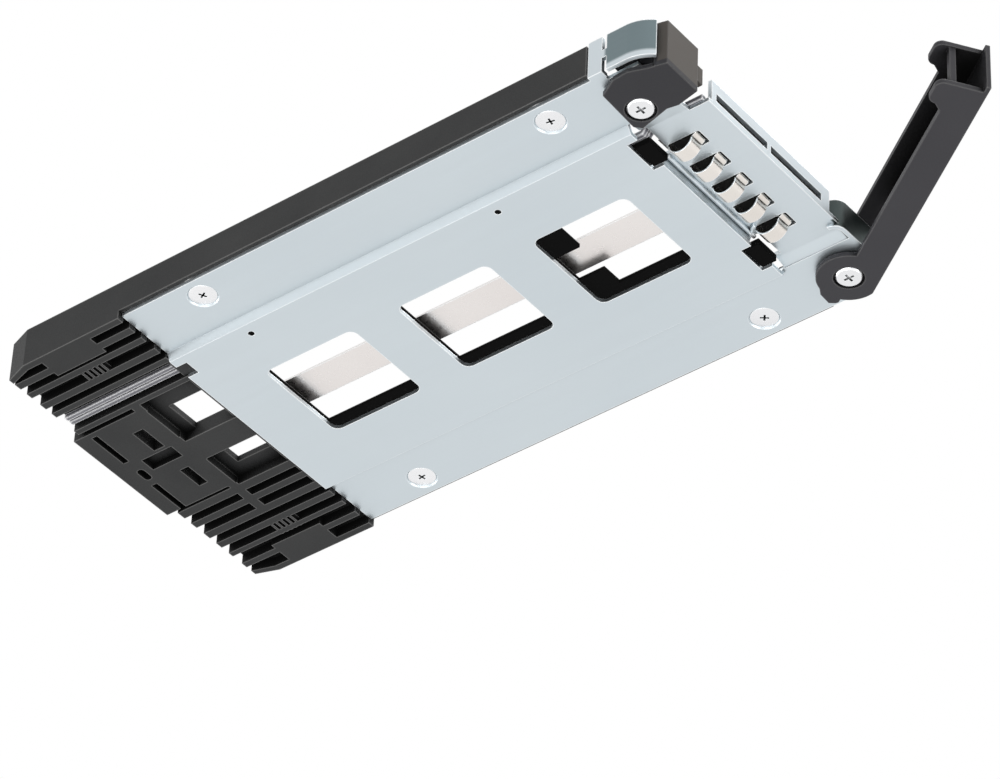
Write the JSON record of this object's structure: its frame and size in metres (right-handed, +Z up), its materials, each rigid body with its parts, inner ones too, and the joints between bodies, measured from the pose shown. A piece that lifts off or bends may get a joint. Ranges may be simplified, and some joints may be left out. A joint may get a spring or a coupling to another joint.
{
  "type": "hot swap drive caddy",
  "caption": "Slim hot swap caddy for a 2.5 inch drive: folded steel plate, moulded tray frame, light pipes, spring-loaded swing lever and rocker latch.",
  "frame": {"origin": "centre of the four drive screws, on the plane where the drive's underside seats", "axes": "+Z up out of the caddy, the way the drive lies on it; +Y towards the connector end of the drive, so the lever and latch are at -Y; +X to the side of the lever's pivot"},
  "size_m": [0.0718, 0.1867, 0.01],
  "materials": {
    "plate_steel": "satin zinc plating",
    "frame_plastic": "matte moulded",
    "lever_plastic": "matte moulded",
    "screw_steel": "bright plated",
    "spring_steel": "bright wire",
    "strip_steel": "bright sheet",
    "clear_plastic": "clear"
  },
  "bodies": {
    "base": {"base_plate": "plate_steel", "tray_frame": "frame_plastic", "centre_strip": "strip_steel", "emi_strip": "strip_steel", "light_pipe_activity": "clear_plastic", "light_pipe_status": "clear_plastic", "drive_screws": "screw_steel", "lever_pivot_post": "plate_steel", "lever_pivot_screw": "screw_steel", "lever_spring": "spring_steel", "latch_pivot_post": "plate_steel", "latch_pivot_screw": "screw_steel", "latch_spring": "spring_steel"},
    "lever": {"lever": "lever_plastic"},
    "latch": {"latch_button": "lever_plastic"}
  },
  "joints": [
    {"name": "lever_swing", "type": "hinge", "parent": "base", "child": "lever", "pos_m": [0.0292, -0.0574, 0], "axis": [0, 0, 1], "range_deg": [-50.5, 0], "stiffness_Nm_per_rad": 0.01, "springref_deg": 17.19},
    {"name": "latch_rock", "type": "hinge", "parent": "base", "child": "latch", "pos_m": [-0.0257, -0.0534, 0], "axis": [0, 0, 1], "range_deg": [0, 4.8], "stiffness_Nm_per_rad": 0.01, "springref_deg": 14.32}
  ]
}
